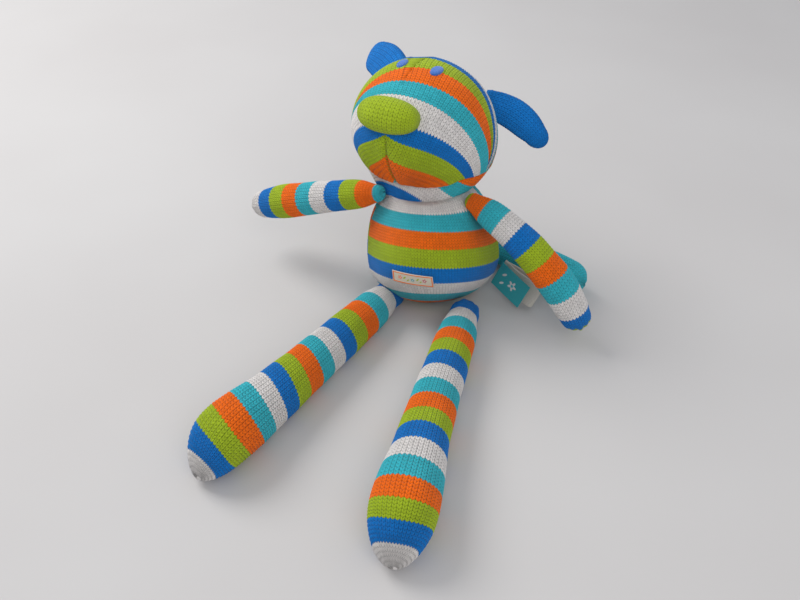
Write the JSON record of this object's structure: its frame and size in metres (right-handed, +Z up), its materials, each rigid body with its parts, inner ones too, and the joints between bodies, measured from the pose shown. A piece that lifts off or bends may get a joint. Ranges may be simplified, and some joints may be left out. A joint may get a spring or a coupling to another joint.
{
  "type": "stuffed dog toy",
  "caption": "Striped knitted stuffed dog sitting with its long legs stretched out, with floppy ears, stuffed nose, tail and side labels.",
  "frame": {"origin": "in the middle of the flat seat the toy rests on", "axes": "+Z up, the toy's front and outstretched legs towards -Y, its own left side towards +X"},
  "size_m": [0.284, 0.3933, 0.1773],
  "materials": {
    "striped_knit": "matte knitted cotton, five colours in turn",
    "blue_knit": "matte knitted cotton",
    "teal_knit": "matte knitted cotton",
    "lime_knit": "matte knitted cotton",
    "blue_thread": "soft sheen embroidery thread",
    "lime_thread": "matte sewing thread",
    "white_thread": "matte sewing thread",
    "polyester_fill": "loose fibre",
    "pellet_cloth": "matte woven cloth over plastic pellets",
    "woven_label": "satin woven tape",
    "teal_label": "satin woven tape"
  },
  "bodies": {
    "torso": {"torso_cover": "striped_knit", "torso_filling": "polyester_fill", "seat_pellet_bag": "pellet_cloth", "belly_label": "woven_label"},
    "neck": {"neck_ladder_stitch": "white_thread"},
    "head": {"head_face_panel": "striped_knit", "head_back_panel": "striped_knit", "head_filling": "polyester_fill", "nose_cover": "lime_knit", "nose_filling": "polyester_fill", "left_eye_embroidery": "blue_thread", "right_eye_embroidery": "blue_thread", "mouth_dart_thread": "lime_thread"},
    "side_labels": {"side_tab_label": "teal_label", "side_care_label": "woven_label"},
    "tail": {"tail_cover": "teal_knit", "tail_filling": "polyester_fill"},
    "left_ear": {"left_ear_cover": "blue_knit", "left_ear_wadding": "polyester_fill"},
    "left_shoulder": {"left_shoulder_thread_knot": "white_thread"},
    "left_arm": {"left_arm_cover": "striped_knit", "left_arm_filling": "polyester_fill"},
    "left_hip": {"left_hip_thread_knot": "white_thread"},
    "left_leg": {"left_leg_cover": "striped_knit", "left_leg_filling": "polyester_fill"},
    "right_ear": {"right_ear_cover": "blue_knit", "right_ear_wadding": "polyester_fill"},
    "right_shoulder": {"right_shoulder_thread_knot": "white_thread"},
    "right_arm": {"right_arm_cover": "striped_knit", "right_arm_filling": "polyester_fill"},
    "right_hip": {"right_hip_thread_knot": "white_thread"},
    "right_leg": {"right_leg_cover": "striped_knit", "right_leg_filling": "polyester_fill"}
  },
  "joints": [
    {"name": "head_turn", "type": "hinge", "parent": "torso", "child": "neck", "pos_m": [-0.00794, 0.02373, 0.12524], "axis": [-0.0829, 0.3215, 0.9433], "range_deg": [-35, 35]},
    {"name": "head_nod", "type": "hinge", "parent": "neck", "child": "head", "pos_m": [-0.00794, 0.02373, 0.12524], "axis": [0.829, -0.5592, 0], "range_deg": [-10, 12]},
    {"name": "left_ear_flap", "type": "hinge", "parent": "head", "child": "left_ear", "pos_m": [0.04577, 0.04644, 0.13226], "axis": [-0.3318, -0.4002, -0.8543], "range_deg": [-50, 45]},
    {"name": "right_ear_flap", "type": "hinge", "parent": "head", "child": "right_ear", "pos_m": [-0.02995, 0.07545, 0.14381], "axis": [-0.7371, -0.0709, -0.6721], "range_deg": [-50, 50]},
    {"name": "left_arm_swing", "type": "hinge", "parent": "torso", "child": "left_shoulder", "pos_m": [0.0273, -0.024, 0.0918], "axis": [-1, 0, 0], "range_deg": [0, 60]},
    {"name": "left_arm_raise", "type": "hinge", "parent": "left_shoulder", "child": "left_arm", "pos_m": [0.0273, -0.024, 0.0918], "axis": [0, -1, 0], "range_deg": [0, 70]},
    {"name": "right_arm_swing", "type": "hinge", "parent": "torso", "child": "right_shoulder", "pos_m": [-0.0428, -0.0074, 0.0888], "axis": [-1, 0, 0], "range_deg": [-40, 60]},
    {"name": "right_arm_raise", "type": "hinge", "parent": "right_shoulder", "child": "right_arm", "pos_m": [-0.0428, -0.0074, 0.0888], "axis": [0, 1, 0], "range_deg": [-20, 45]},
    {"name": "left_leg_lift", "type": "hinge", "parent": "left_hip", "child": "left_leg", "pos_m": [0.021, -0.062, 0.0128], "axis": [0.9583, -0.2857, 0], "range_deg": [-60, 80]},
    {"name": "left_leg_spread", "type": "hinge", "parent": "torso", "child": "left_hip", "pos_m": [0.021, -0.062, 0.0128], "axis": [0, 0, 1], "range_deg": [-10, 45]},
    {"name": "right_leg_lift", "type": "hinge", "parent": "right_hip", "child": "right_leg", "pos_m": [-0.037, -0.036, 0.0128], "axis": [0.8406, -0.5417, 0], "range_deg": [-18, 80]},
    {"name": "right_leg_spread", "type": "hinge", "parent": "torso", "child": "right_hip", "pos_m": [-0.037, -0.036, 0.0128], "axis": [0, 0, -1], "range_deg": [-10, 40]},
    {"name": "tail_swing", "type": "hinge", "parent": "torso", "child": "tail", "pos_m": [0.0405, 0.0372, 0.014], "axis": [0, 0, 1], "range_deg": [-5, 70]},
    {"name": "side_labels_flap", "type": "hinge", "parent": "torso", "child": "side_labels", "pos_m": [0.0502, -0.0168, 0.0225], "axis": [0.3714, 0, 0.9285], "range_deg": [-60, 25]}
  ]
}
